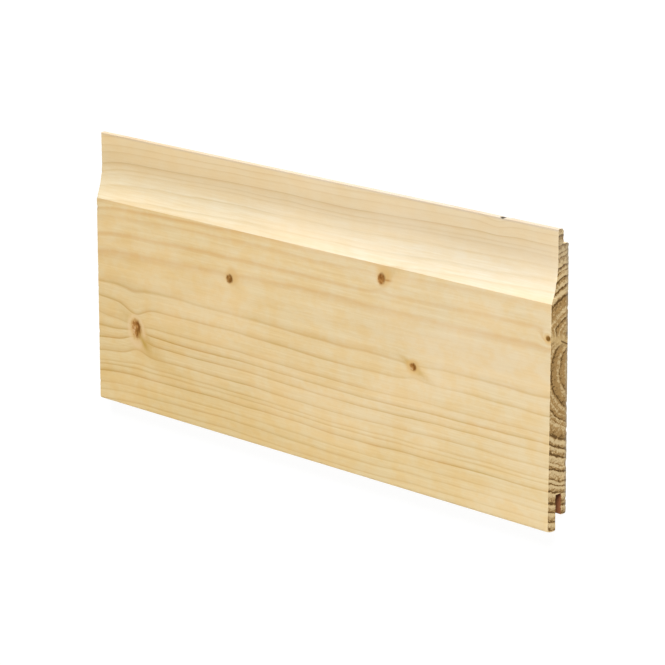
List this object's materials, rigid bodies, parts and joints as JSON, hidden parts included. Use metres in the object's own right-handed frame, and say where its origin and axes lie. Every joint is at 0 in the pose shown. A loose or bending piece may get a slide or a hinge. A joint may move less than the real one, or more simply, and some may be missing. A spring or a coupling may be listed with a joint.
{
  "type": "weatherboard",
  "caption": "Flat softwood weatherboard with a hollow coved upper edge, a thin tongue and a grooved lower edge whose front lip hangs over the board below it on a wall.",
  "frame": {"origin": "centre of the board's box on its back face, which lies on the floor", "axes": "+X along the board, +Y across it towards the tongue, +Z out of the show face"},
  "size_m": [0.27, 0.121, 0.0105],
  "materials": {
    "bare_softwood": "matte"
  },
  "bodies": {
    "root": {"board": "bare_softwood"}
  },
  "joints": []
}
